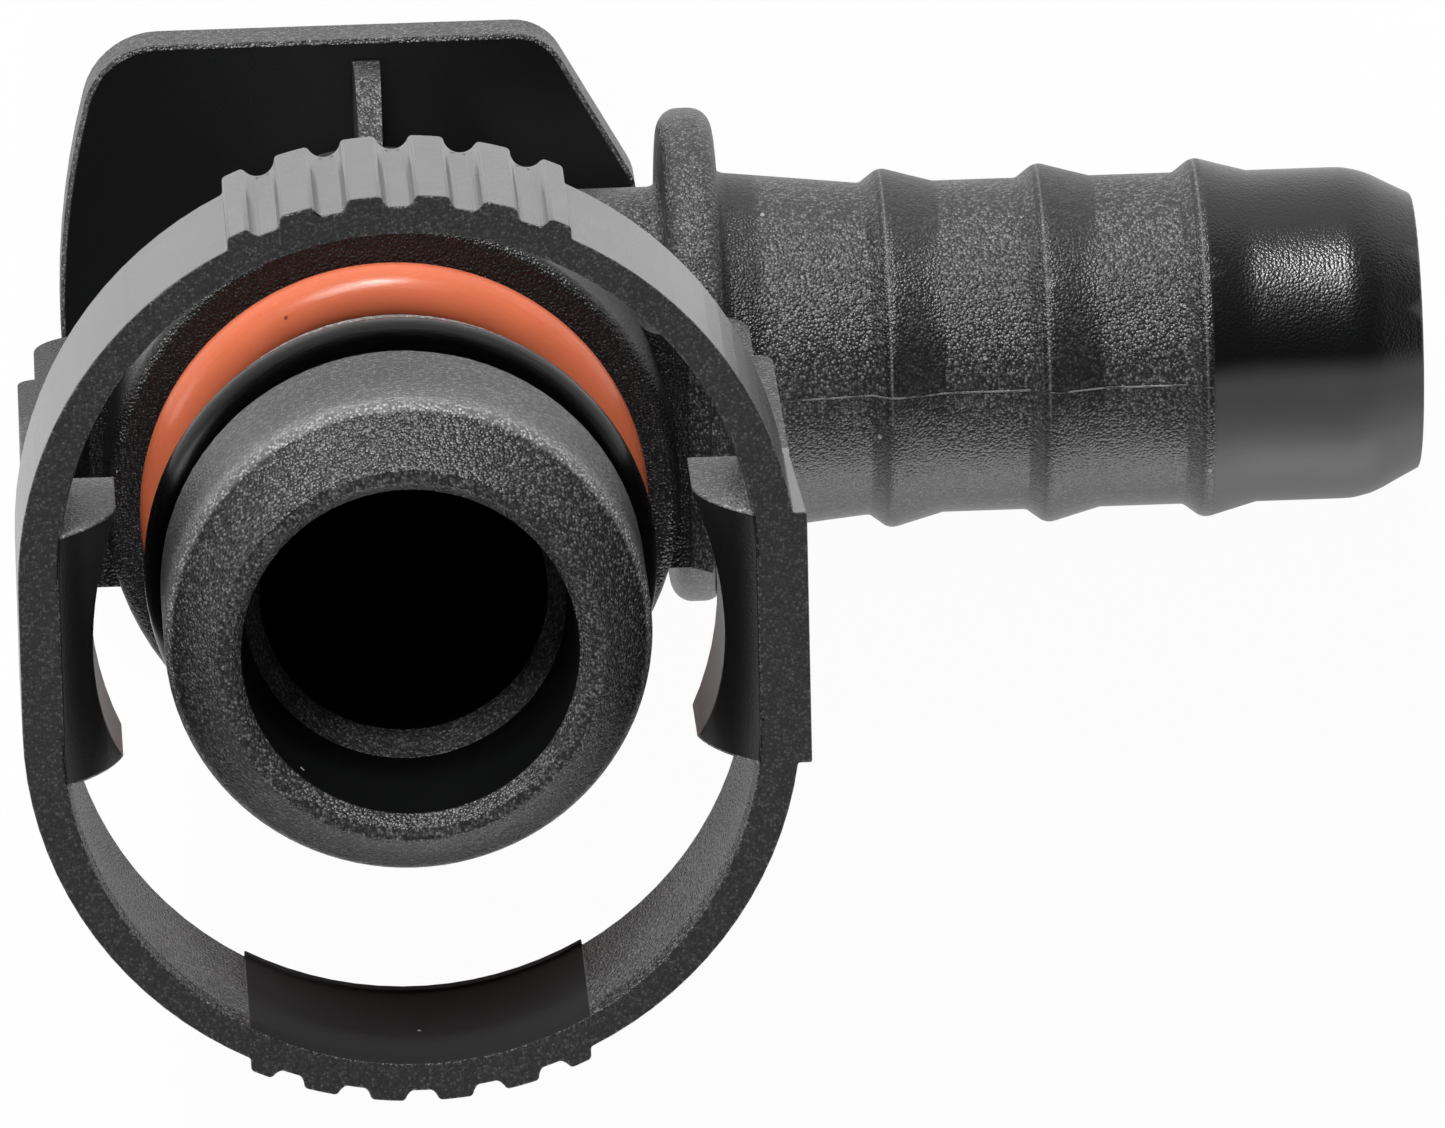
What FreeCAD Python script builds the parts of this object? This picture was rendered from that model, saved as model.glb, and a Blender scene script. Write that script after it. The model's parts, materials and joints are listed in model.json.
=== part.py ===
"""Barbed elbow hose connector with a squeeze-to-release latch ring, in millimetres.

The spigot's axis is Z and points up, and the hose stem points along +X. The origin lies on the
spigot's axis, in the plane of the thumb pad's back, on which the connector rests.
"""

import FreeCAD, Part

import math
import os

V = FreeCAD.Vector

# Stance: the two axes and the plane on which the connector rests
flange_radius = 11.9
flange_lift = 0.1
spigot_reach = 47.6

# Spigot nose, measured down from its mouth
nose_radius = 11.3
nose_length = 11.8
nose_lead_length = 3.2
nose_rim_radius = 8.96
nose_shoulder_round = 1.0

# Two seals in their grooves, and the land between them
seal_section = 3.0
seal_proud = 0.7
seal_clearance = 0.03
front_groove_width = 4.25
land_length = 1.75
spacer_drop = 1.2
spacer_length = 3.8
rear_groove_width = 3.6
groove_corner_round = 0.3

# Shoulder, neck and elbow behind the seals
shoulder_step = 2.3
shoulder_round = 0.6
neck_radius = 9.6
elbow_corner_round = 5.2

# Flow way: stepped bore in the spigot, plain bore in the stem
mouth_chamfer = 0.5
mouth_chamfer_length = 0.7
mouth_bore_radius = 7.8
step_bore_radius = 7.5
step_depth = 8.3
step_length = 1.9
spigot_bore_radius = 6.7
hose_bore_radius = 5.9
hose_bore_chamfer = 0.3

# Hose stem along X, measured from the spigot's axis
stem_root_radius = 8.15
flange_x = 15.05
flange_thickness = 2.6
flange_crown_round = 1.05
flange_root_round = 0.6
hose_radius = 8.0
hose_seat_radius = 8.76
barb_count = 3
barb_radius = 8.72
first_barb_x = 24.37
barb_pitch = 7.57
barb_back_length = 0.95
barb_taper_length = 2.6
barb_crest_round = 0.8
barb_root_round = 0.3
stem_tip_length = 10.49
stem_lead_length = 2.7
stem_lead_drop = 1.38
stem_lead_round = 4.4
stem_end_round = 0.2

# Latch ring: a stadium-shaped hoop round the spigot's nose
ring_set_back = 0.8
ring_length = 9.5
ring_arc_y = 3.35
ring_front_wall_side = 1.85
ring_front_wall_top = 1.3
ring_chamfer = 0.15
ring_chamfer_length = 0.9
ring_draft_side = 0.05
ring_draft_top = 0.25
side_pad_front_proud = 0.45
side_pad_rear_proud = 0.1

# Finger grips on the ring's top and bottom
grip_count = 6
grip_pitch_angle = 9.8
grip_proud = 0.52
grip_end_angle = 5.65
grip_groove_radius = 0.8
grip_groove_depth = 0.66
grip_tip_round = 0.25
grip_rear_extension = 0.75
grip_wall = 1.8

# Latch hooks, and the arms and web that carry the ring
limb_half_width = 6.05
limb_draft = 0.25
hook_reach = 1.55
hook_lead_length = 4.6
hook_lead_bulge = 0.45
arm_clearance = 1.6
arm_set_in = 0.45
arm_thickness = 1.5
arm_jog = 0.85
arm_jog_height = 4.5
arm_jog_length = 0.3
arm_jog_round = 1.0
web_depth = 31.5
web_thickness = 3.2
web_edge_flat = 0.3
web_inner_round = 1.0
web_neck_round = 1.2

# Thumb pad at the back, and the ribs that brace it
pad_thickness = 2.8
pad_half_height = 13.7
pad_left_x = 15.15
pad_left_corner_x = 12.8
pad_top_right_x = 8.7
pad_right_x = 13.2
pad_right_shoulder_x = 12.9
pad_right_shoulder_y = 6.2
pad_left_round = 3.8
pad_right_round = 2.6
pad_rim_round = 0.5
rib_thickness = 1.35
rib_top_thickness = 1.0
rib_reach = 12.7
rib_end_height = 3.1
rib_end_round = 0.8
rib_slope_angle = 50.0

# Levels and sizes worked out from those above
seal_radius = nose_radius + seal_proud
spacer_radius = nose_radius - spacer_drop
shoulder_radius = nose_radius + shoulder_step
stem_end_x = first_barb_x + (barb_count - 1) * barb_pitch + stem_tip_length
stem_lead_radius = hose_radius - stem_lead_drop
web_half_width = limb_half_width - limb_draft
web_corner_round = web_thickness - web_edge_flat
stem_axis_z = flange_radius + flange_lift
mouth_z = stem_axis_z + spigot_reach
nose_rear_z = mouth_z - nose_length
front_groove_rear_z = nose_rear_z - front_groove_width
land_rear_z = front_groove_rear_z - land_length
rear_groove_front_z = land_rear_z - spacer_length
shoulder_z = rear_groove_front_z - rear_groove_width
groove_floor_radius = seal_radius - seal_section - seal_clearance
web_top_z = mouth_z - web_depth
web_bottom_z = web_top_z - web_thickness
neck_top_z = web_bottom_z - (shoulder_radius - neck_radius)
ring_front_z = mouth_z - ring_set_back
ring_rear_z = ring_front_z - ring_length
grip_rear_z = ring_rear_z - grip_rear_extension
web_reach = shoulder_radius + arm_clearance
arm_inner_x = web_reach + arm_jog
left_arm_x = arm_inner_x + arm_thickness
ring_half_width = left_arm_x + arm_set_in
ring_half_height = ring_half_width + ring_arc_y
grip_tip_radius = ring_half_width + grip_proud
grip_half_angle = (grip_count - 2) / 2 * grip_pitch_angle + grip_end_angle
grip_half_width = grip_tip_radius * math.sin(math.radians(grip_half_angle))
right_arm_x = ring_half_width + side_pad_rear_proud
hook_radius = ring_half_width - ring_front_wall_side - hook_reach
arm_jog_z = web_top_z + arm_jog_height


def turned(outline, base, axis):
    """Turns a closed outline of points about an axis."""
    face = Part.Face(Part.makePolygon(outline + outline[:1]))
    return face.revolve(base, axis, 360)


def turned_on_z(profile):
    """Turns a profile of (radius, z) points about the spigot's axis."""
    return turned([V(r, 0, z) for r, z in profile], V(0, 0, 0), V(0, 0, 1))


def turned_on_stem(profile):
    """Turns a profile of (x, radius) points about the stem's axis."""
    outline = [V(x, 0, stem_axis_z + r) for x, r in profile]
    return turned(outline, V(0, 0, stem_axis_z), V(1, 0, 0))


def block(x0, x1, y0, y1, z0, z1):
    """A box between two corners."""
    return Part.makeBox(x1 - x0, y1 - y0, z1 - z0, V(x0, y0, z0))


def rims(solid, axis, radius, level):
    """The circular edges of one radius at one level along an axis through the origin."""
    found = []
    for edge in solid.Edges:
        if not isinstance(edge.Curve, Part.Circle):
            continue
        centre = edge.Curve.Center
        same_level = abs(centre.dot(axis) - level) < 0.001
        if same_level and abs(edge.Curve.Radius - radius) < 0.001:
            found.append(edge)
    return found


def stadium(half_width, half_height, z):
    """A closed wire of two straight sides along Y and two round ends."""
    y = half_height - half_width
    left_low = V(-half_width, -y, z)
    left_high = V(-half_width, y, z)
    right_high = V(half_width, y, z)
    right_low = V(half_width, -y, z)
    top = Part.Arc(left_high, V(0, half_height, z), right_high)
    bottom = Part.Arc(right_low, V(0, -half_height, z), left_low)
    edges = [
        Part.makeLine(left_low, left_high),
        top.toShape(),
        Part.makeLine(right_high, right_low),
        bottom.toShape(),
    ]
    return Part.Wire(edges)


def mirrored_in_x(solid):
    """The same solid on the other side of the YZ plane."""
    return solid.mirror(V(0, 0, 0), V(1, 0, 0))


def mirrored_in_y(solid):
    """The same solid on the other side of the XZ plane."""
    return solid.mirror(V(0, 0, 0), V(0, 1, 0))


def across_limb(outline):
    """A solid as wide as an arm, from its outline of (x, z) points."""
    points = [V(x, -limb_half_width, z) for x, z in outline]
    face = Part.Face(Part.makePolygon(points + points[:1]))
    return face.extrude(V(0, 2 * limb_half_width, 0))


def spigot():
    """Nose, seal grooves, shoulder, neck and the elbow's closed lower end, still without a bore."""
    elbow_foot_radius = neck_radius - elbow_corner_round
    core = turned_on_z([
        (0, mouth_z),
        (nose_rim_radius, mouth_z),
        (nose_radius, mouth_z - nose_lead_length),
        (nose_radius, nose_rear_z),
        (groove_floor_radius, nose_rear_z),
        (groove_floor_radius, front_groove_rear_z),
        (nose_radius, front_groove_rear_z),
        (nose_radius, land_rear_z),
        (spacer_radius, land_rear_z),
        (spacer_radius, rear_groove_front_z),
        (groove_floor_radius, rear_groove_front_z),
        (groove_floor_radius, shoulder_z),
        (shoulder_radius, shoulder_z),
        (shoulder_radius, web_bottom_z),
        (neck_radius, neck_top_z),
        (neck_radius, pad_thickness),
        (0, pad_thickness),
    ])
    up = V(0, 0, 1)
    core = core.makeFillet(elbow_corner_round, rims(core, up, neck_radius, pad_thickness))
    core = core.makeFillet(nose_shoulder_round, rims(core, up, nose_radius, mouth_z - nose_lead_length))
    seat_rims = rims(core, up, nose_radius, nose_rear_z) + rims(core, up, nose_radius, front_groove_rear_z)
    seat_rims += rims(core, up, nose_radius, land_rear_z)
    core = core.makeFillet(groove_corner_round, seat_rims)
    core = core.makeFillet(shoulder_round, rims(core, up, shoulder_radius, shoulder_z))
    return core.fuse(Part.makeCylinder(elbow_foot_radius, pad_thickness, V(0, 0, pad_thickness / 2)))


def barb_crests():
    """Where each barb is widest, along the stem."""
    return [first_barb_x + i * barb_pitch for i in range(barb_count)]


def barbs():
    """Profile points of the barbs: a steep back towards the flange and a long taper to the end."""
    points = []
    for crest_x in barb_crests():
        points.append((crest_x - barb_back_length, hose_radius))
        points.append((crest_x, barb_radius))
        points.append((crest_x + barb_taper_length, hose_radius))
    return points


def stem():
    """Hose stem with its stop flange and barbs, still without a bore."""
    flange_start_x = flange_x - flange_thickness / 2
    flange_end_x = flange_x + flange_thickness / 2
    body = turned_on_stem([
        (0, 0),
        (0, stem_root_radius),
        (flange_start_x, stem_root_radius),
        (flange_start_x, flange_radius),
        (flange_end_x, flange_radius),
        (flange_end_x, hose_seat_radius),
        *barbs(),
        (stem_end_x - stem_lead_length, hose_radius),
        (stem_end_x, stem_lead_radius),
        (stem_end_x, 0),
    ])
    along = V(1, 0, 0)
    crown = rims(body, along, flange_radius, flange_start_x) + rims(body, along, flange_radius, flange_end_x)
    body = body.makeFillet(flange_crown_round, crown)
    roots = rims(body, along, stem_root_radius, flange_start_x)
    roots += rims(body, along, hose_seat_radius, flange_end_x)
    body = body.makeFillet(flange_root_round, roots)
    crests = []
    backs = []
    for crest_x in barb_crests():
        crests += rims(body, along, barb_radius, crest_x)
        backs += rims(body, along, hose_radius, crest_x - barb_back_length)
    body = body.makeFillet(barb_crest_round, crests)
    body = body.makeFillet(barb_root_round, backs)
    body = body.makeFillet(stem_lead_round, rims(body, along, hose_radius, stem_end_x - stem_lead_length))
    return body.makeFillet(stem_end_round, rims(body, along, stem_lead_radius, stem_end_x))


def flow_way():
    """The water's way: down the spigot's stepped bore, and out along the stem."""
    floor_z = stem_axis_z - hose_bore_radius
    above = 1.0
    mouth_flare = mouth_chamfer * above / mouth_chamfer_length
    spigot_bore = turned_on_z([
        (0, mouth_z + above),
        (mouth_bore_radius + mouth_chamfer + mouth_flare, mouth_z + above),
        (mouth_bore_radius, mouth_z - mouth_chamfer_length),
        (step_bore_radius, mouth_z - step_depth),
        (spigot_bore_radius, mouth_z - step_depth - step_length),
        (spigot_bore_radius, floor_z),
        (0, floor_z),
    ])
    hose_bore = turned_on_stem([
        (0, 0),
        (0, hose_bore_radius),
        (stem_end_x - hose_bore_chamfer, hose_bore_radius),
        (stem_end_x + above, hose_bore_radius + hose_bore_chamfer + above),
        (stem_end_x + above, 0),
    ])
    return spigot_bore.fuse(hose_bore)


def grip(sign):
    """Ribbed finger grip on the ring's top (sign 1) or bottom (sign -1)."""
    centre_y = sign * ring_arc_y
    length = ring_front_z - grip_rear_z
    pad = Part.makeCylinder(grip_tip_radius, length, V(0, centre_y, grip_rear_z))
    y_far = centre_y + sign * grip_tip_radius
    zone = block(-grip_half_width, grip_half_width, min(0, y_far), max(0, y_far), grip_rear_z, ring_front_z)
    pad = pad.common(zone)
    groove_centre = grip_tip_radius + grip_groove_radius - grip_groove_depth
    for i in range(grip_count - 1):
        angle = math.radians((i - (grip_count - 2) / 2) * grip_pitch_angle)
        x = groove_centre * math.sin(angle)
        y = centre_y + sign * groove_centre * math.cos(angle)
        pad = pad.cut(Part.makeCylinder(grip_groove_radius, length, V(x, y, grip_rear_z)))
    tips = [
        edge for edge in pad.Edges
        if edge.BoundBox.ZLength > length / 2
        and abs(math.hypot(edge.CenterOfMass.x, edge.CenterOfMass.y - centre_y) - grip_tip_radius) < 0.001
    ]
    pad = pad.makeFillet(grip_tip_round, tips)
    inner = Part.makeCylinder(ring_half_width - grip_wall, length, V(0, centre_y, grip_rear_z))
    return pad, inner.common(zone)


def ring():
    """Latch ring: hoop with tapered inner wall, side pad and two ribbed grips."""
    outer = Part.Face(stadium(ring_half_width, ring_half_height, ring_rear_z))
    hoop = outer.extrude(V(0, 0, ring_length))
    half_width = ring_half_width - ring_front_wall_side
    half_height = ring_half_height - ring_front_wall_top
    steps = [
        (0, 0, ring_front_z),
        (ring_chamfer, ring_chamfer, ring_front_z - ring_chamfer_length),
        (ring_chamfer + ring_draft_side, ring_chamfer + ring_draft_top, ring_rear_z),
    ]
    wires = [stadium(half_width - side, half_height - top, z) for side, top, z in steps]
    opening = Part.makeLoft(wires, True, True)
    side_pad = across_limb([
        (half_width, ring_front_z),
        (ring_half_width + side_pad_front_proud, ring_front_z),
        (ring_half_width + side_pad_rear_proud, ring_rear_z),
        (half_width, ring_rear_z),
    ])
    hoop = hoop.fuse(side_pad)
    recesses = []
    for sign in (1, -1):
        pad, recess = grip(sign)
        hoop = hoop.fuse(pad)
        recesses.append(recess)
    hoop = hoop.cut(opening)
    for recess in recesses:
        hoop = hoop.cut(recess)
    return hoop


def hook():
    """Latch hook inside the ring's right side: a rounded lead-in, then a tip round the spigot's axis."""
    wall_x = ring_half_width - ring_front_wall_side
    root_x = ring_half_width - ring_front_wall_side / 2
    tip_x = math.sqrt(hook_radius ** 2 - limb_half_width ** 2)
    lead_z = ring_front_z - hook_lead_length
    start = V(wall_x, -limb_half_width, ring_front_z)
    end = V(tip_x, -limb_half_width, lead_z)
    run = end - start
    across = V(run.z, 0, -run.x).normalize()
    if across.x > 0:
        across = across.negative()
    middle = start + run * 0.5 + across * hook_lead_bulge
    edges = [
        Part.Arc(start, middle, end).toShape(),
        Part.makeLine(end, V(tip_x, -limb_half_width, ring_rear_z)),
        Part.makeLine(V(tip_x, -limb_half_width, ring_rear_z), V(root_x, -limb_half_width, ring_rear_z)),
        Part.makeLine(V(root_x, -limb_half_width, ring_rear_z), V(root_x, -limb_half_width, ring_front_z)),
        Part.makeLine(V(root_x, -limb_half_width, ring_front_z), start),
    ]
    solid = Part.Face(Part.Wire(edges)).extrude(V(0, 2 * limb_half_width, 0))
    return solid.cut(Part.makeCylinder(hook_radius, ring_length, V(0, 0, ring_rear_z)))


def limb_envelope():
    """The room the arms narrow to along Y: as wide as the hooks at the ring, narrower at the web."""
    outline = [
        (-limb_half_width, ring_rear_z),
        (limb_half_width, ring_rear_z),
        (web_half_width, web_top_z),
        (web_half_width, web_bottom_z),
        (-web_half_width, web_bottom_z),
        (-web_half_width, web_top_z),
    ]
    points = [V(0, y, z) for y, z in outline]
    return Part.Face(Part.makePolygon(points + points[:1])).extrude(V(2 * ring_half_width, 0, 0))


def across_edges(solid, x, z):
    """The edges of a limb that run along Y at one x and z."""
    return [
        edge for edge in solid.Edges
        if edge.BoundBox.YLength > limb_half_width
        and abs(edge.CenterOfMass.x - x) < 0.001 and abs(edge.CenterOfMass.z - z) < 0.001
    ]


def arm(outer_x):
    """Right half of the web and its springy arm up to the ring, with a jog inwards near its foot."""
    jog_end_z = arm_jog_z - arm_jog_length
    solid = across_limb([
        (outer_x, ring_rear_z),
        (outer_x, arm_jog_z),
        (outer_x - arm_jog, jog_end_z),
        (outer_x - arm_jog, web_bottom_z),
        (0, web_bottom_z),
        (0, web_top_z),
        (web_reach - web_inner_round, web_top_z),
        (web_reach, web_top_z + web_inner_round),
        (web_reach, jog_end_z),
        (arm_inner_x, arm_jog_z),
        (arm_inner_x, ring_rear_z),
    ])
    solid = solid.makeFillet(web_corner_round, across_edges(solid, outer_x - arm_jog, web_bottom_z))
    solid = solid.makeFillet(arm_jog_round, across_edges(solid, outer_x, arm_jog_z))
    return solid.common(limb_envelope())


def limbs():
    """Both arms and the cross web between them, blended into the shoulder in plan."""
    left_arm = mirrored_in_x(arm(left_arm_x))
    right_arm = arm(right_arm_x)
    hub = Part.makeCylinder(shoulder_radius, web_thickness, V(0, 0, web_bottom_z))
    frame = left_arm.multiFuse([right_arm, hub]).removeSplitter()
    root_x = math.sqrt(shoulder_radius ** 2 - web_half_width ** 2)
    roots = [
        edge for edge in frame.Edges
        if edge.BoundBox.ZLength > web_thickness / 2
        and abs(abs(edge.CenterOfMass.x) - root_x) < 0.001
        and abs(abs(edge.CenterOfMass.y) - web_half_width) < 0.001
    ]
    return frame.makeFillet(web_neck_round, roots)


def thumb_pad():
    """Flat pad behind the elbow, wider on the left, where the thumb pushes the connector home."""
    top = pad_half_height
    right_high = V(pad_right_shoulder_x, pad_right_shoulder_y, 0)
    right_low = V(pad_right_shoulder_x, -pad_right_shoulder_y, 0)
    left_high = V(-pad_left_corner_x, top, 0)
    left_low = V(-pad_left_corner_x, -top, 0)
    edges = [
        Part.makeLine(left_high, V(pad_top_right_x, top, 0)),
        Part.makeLine(V(pad_top_right_x, top, 0), right_high),
        Part.Arc(right_high, V(pad_right_x, 0, 0), right_low).toShape(),
        Part.makeLine(right_low, V(pad_top_right_x, -top, 0)),
        Part.makeLine(V(pad_top_right_x, -top, 0), left_low),
        Part.Arc(left_low, V(-pad_left_x, 0, 0), left_high).toShape(),
    ]
    pad = Part.Face(Part.Wire(edges)).extrude(V(0, 0, pad_thickness))
    upright = [edge for edge in pad.Edges if edge.BoundBox.ZLength > pad_thickness / 2]
    left = [edge for edge in upright if edge.CenterOfMass.x < 0]
    right = [edge for edge in upright if edge.CenterOfMass.x > 0]
    pad = pad.makeFillet(pad_left_round, left)
    right = [
        edge for edge in pad.Edges
        if edge.BoundBox.ZLength > pad_thickness / 2 and edge.BoundBox.XLength < 0.001
        and edge.BoundBox.YLength < 0.001 and edge.CenterOfMass.x > 0
    ]
    pad = pad.makeFillet(pad_right_round, right)
    rim = [
        edge for edge in pad.Edges
        if edge.BoundBox.ZLength < 0.001 and abs(edge.CenterOfMass.z - pad_thickness) < 0.001
    ]
    return pad.makeChamfer(pad_rim_round / 2, rim)


def pad_rib():
    """Gusset between the pad's upper half and the elbow, low at its end and rising inwards."""
    slope = math.tan(math.radians(rib_slope_angle))
    end_z = pad_thickness + rib_end_height
    top_z = min(end_z + rib_reach * slope, stem_axis_z)
    inner_y = rib_reach - (top_z - end_z) / slope
    outline = [
        (rib_reach, pad_thickness / 2),
        (rib_reach, end_z),
        (inner_y, top_z),
        (0, top_z),
        (0, pad_thickness / 2),
    ]
    points = [V(-rib_thickness / 2, y, z) for y, z in outline]
    rib = Part.Face(Part.makePolygon(points + points[:1])).extrude(V(rib_thickness, 0, 0))
    end = [
        edge for edge in rib.Edges
        if edge.BoundBox.XLength > rib_thickness / 2
        and abs(edge.CenterOfMass.y - rib_reach) < 0.001 and abs(edge.CenterOfMass.z - end_z) < 0.001
    ]
    rib = rib.makeFillet(rib_end_round, end)
    section = [
        (-rib_thickness / 2, pad_thickness / 2),
        (rib_thickness / 2, pad_thickness / 2),
        (rib_thickness / 2, pad_thickness),
        (rib_top_thickness / 2, top_z),
        (-rib_top_thickness / 2, top_z),
        (-rib_thickness / 2, pad_thickness),
    ]
    points = [V(x, 0, z) for x, z in section]
    drafted = Part.Face(Part.makePolygon(points + points[:1])).extrude(V(0, rib_reach, 0))
    return rib.common(drafted)


def connector_body():
    """The one moulding: spigot, elbow, hose stem, latch ring and thumb pad, with the flow way cut."""
    pieces = [stem(), limbs(), ring(), hook(), mirrored_in_x(hook())]
    pieces += [thumb_pad(), pad_rib(), mirrored_in_y(pad_rib())]
    body = spigot().multiFuse(pieces)
    body = body.cut(flow_way())
    return body.removeSplitter()


def seal(centre_z):
    """O-ring about the spigot's axis, seated in its groove."""
    mean_radius = seal_radius - seal_section / 2
    return Part.makeTorus(mean_radius, seal_section / 2, V(0, 0, centre_z), V(0, 0, 1))


def build():
    """Every node of the connector, by name."""
    seat = seal_section / 2 + seal_clearance
    return {
        "connector_body": connector_body(),
        "front_o_ring": seal(front_groove_rear_z + seat),
        "rear_o_ring": seal(shoulder_z + seat),
    }


os.makedirs("parts", exist_ok=True)
for name, shape in build().items():
    solids = shape.Solids
    print(name, "solids", len(solids), "valid", shape.isValid(), "volume", round(shape.Volume, 1))
    shape.exportStep("parts/" + name + ".step")
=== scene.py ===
"""Looks of the barbed elbow hose connector: nylon, rubber, moulding lines and a pale studio."""

import json
import math

import bpy
from bpy.props import FloatProperty, FloatVectorProperty, IntProperty, PointerProperty
from mathutils import Matrix, Vector


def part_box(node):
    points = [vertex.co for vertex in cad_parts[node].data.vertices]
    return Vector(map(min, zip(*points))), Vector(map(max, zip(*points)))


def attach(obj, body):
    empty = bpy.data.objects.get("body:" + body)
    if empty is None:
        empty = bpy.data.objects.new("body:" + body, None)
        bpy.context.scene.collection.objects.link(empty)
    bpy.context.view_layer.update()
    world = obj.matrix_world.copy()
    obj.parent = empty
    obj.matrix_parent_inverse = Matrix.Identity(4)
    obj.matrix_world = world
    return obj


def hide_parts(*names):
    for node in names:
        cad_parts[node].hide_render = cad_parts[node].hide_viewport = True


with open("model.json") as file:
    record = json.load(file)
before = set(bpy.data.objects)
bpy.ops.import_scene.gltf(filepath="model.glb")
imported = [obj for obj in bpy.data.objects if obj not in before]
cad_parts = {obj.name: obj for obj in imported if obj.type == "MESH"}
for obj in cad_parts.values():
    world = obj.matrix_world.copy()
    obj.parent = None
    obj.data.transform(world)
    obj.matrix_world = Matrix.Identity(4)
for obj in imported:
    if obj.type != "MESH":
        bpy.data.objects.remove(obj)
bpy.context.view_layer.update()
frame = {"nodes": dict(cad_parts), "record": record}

bl_info = {
    "name": "Barbed Elbow Hose Connector",
    "version": (1, 0, 0),
    "blender": (4, 5, 0),
    "location": "View3D > Sidebar > Hose Connector",
    "description": "Dresses the elbow connector's solids and sets them in a pale studio",
    "category": "Object",
}

LOW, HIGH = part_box("connector_body")
MOUNTS = {mount["name"]: mount for mount in frame["record"]["mounts"]}
STEM_AXIS_Z = MOUNTS["hose_stem"]["pos_m"][2]
MOUTH = Vector((0.0, 0.0, HIGH.z))
MM = 0.001
PICTURE_WIDTH = 1445
PICTURE_HEIGHT = 1128
SENSOR_WIDTH = 36.0
NEAREST, FARTHEST = 0.05, 20.0
WHITE = (1.0, 1.0, 1.0, 1.0)

# Meshes: angles in radians, distances in metres.
SHARP_ANGLE = math.radians(28.0)
FLAT_ANGLE = math.radians(0.3)
JOIN_WITHIN = 0.0005 * MM
CUT_WITHIN = 0.001 * MM
ROUND_SEGMENTS = 3
RING_REAR_ROOM = 0.2 * MM
MOUTH_ROOM = 1.5 * MM
BORE_WALL_SHARE = 1.15
FLOOR_GAP = 0.02 * MM

# Where the nylon's finishes and its painted shade, highlights and reflections blend, beside the
# edges in ConnectorZones: half widths of a blend, or two edges and a half width, measured from the
# edge that each is used with.
SOFT = 0.1 * MM
FACE_SOFT = 0.04 * MM
FINE_SOFT = 0.02 * MM
GRIP_SOFT = 0.05 * MM
CONE_SOFT = 0.05 * MM
BORE_SOFT = 0.03 * MM
TIP_SOFT = 0.12 * MM
SHOULDER_SOFT = 1.0 * MM
FACE_WRAP = 0.06 * MM
HOOK_WRAP = 0.06 * MM
HOOK_END = 0.15 * MM
PAD_SKIN = (-0.02 * MM, 0.2 * MM)
# Painted shadow of the flange on the stem's root.
ROOT_SHADOW = (-0.2 * MM, 1.9 * MM, 0.35 * MM)
# Painted shade on the shoulder behind the ring, where the ring blocks the light.
SHOULDER_SHADE = (9 * MM, 24 * MM)
SHOULDER_REACH = 2 * MM
BAND_INSET = 0.3 * MM
BEFORE_BARBS = 1 * MM
PAST_TIP_START = 0.1 * MM
CREST_LEAD = 0.35 * MM
CREST_SHADE = (0.04 * MM, 0.22 * MM, 0.06 * MM)
# Painted highlight along each barb's crest.
CREST_HIGHLIGHT = (0.29 * MM, 0.38 * MM, 0.04 * MM)
LOW_SIDE = (-1.5 * MM, 2.5 * MM)
# Edge of the stem tip's lower half, duller and painted with a reflection of the floor.
LOW_TIP = (0.6 * MM, 0.8 * MM)

# How far each finish flattens the nylon's grain, and how far painted shade blackens its colour.
SMOOTHING = {"satin": 1.0, "polished": 1.0, "tapers": 0.3, "low_side": 0.5, "ring_face": 0.7}
# Painted shade: the upper side of each barb's taper, a dark line before each crest, the flange's
# shadow on the stem root, and shade on the shoulder behind the ring.
PAINTED_SHADE = {"tapers": 0.65, "crest_shade": 0.75, "root": 0.95, "shoulder": 0.95}
DULLING = {"under_grips": 1.0, "tip_low": 0.6}
CREST_HIGHLIGHT_SHARE = 0.5
# How much painted light the grain's tops take round the nose's rim, low and high.
BAND_LIGHT_TOPS = (0.22, 1.0)
# How much painted light the grain's tops take in the bore's narrowing cone, low and high.
THROAT_LIGHT_TOPS = (0.12, 0.8)
CLOUD_TINT = (0.8, 1.2)
LEAST_RELIEF, TIP_RELIEF = 0.08, 0.3
NYLON_IOR = 1.53

# Patterns: how many repeats lie in a metre, and for specks also their width and share.
NYLON_CLOUDS = 180.0
NYLON_SPECKS = (380.0, 0.05, 0.16)
SPECK_WARP, SPECK_SHIFT = 900.0, 0.4 * MM
FINE_GRAIN, COARSE_GRAIN, NOISE_SHARE = 1.6, 0.3, 0.3
TOP_RARITY, TOP_EDGE, TOP_SOFT = 2.5, 0.45, 0.25
SEAM_BREAKS, BREAK_EDGE, BREAK_SOFT = 900.0, 0.50, 0.06

# Rubber: tints of its colour, its drag lines, and its shine.
RUBBER_CLOUDS = 260.0
RUBBER_SPECKS = (420.0, 0.06, 0.2)
RUBBER_SHADE, RUBBER_LIGHT, SPECK_SHADE = 0.85, 1.12, 0.3
DRAG_LINES, DRAG_STRETCH = 500.0, 9.0
DRAG_STRENGTH, DRAG_HEIGHT, DRAG_ROUGHNESS = 0.35, 0.05 * MM, 0.14
RUBBER_IOR, RUBBER_SHINE = 1.5, 0.3

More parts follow.
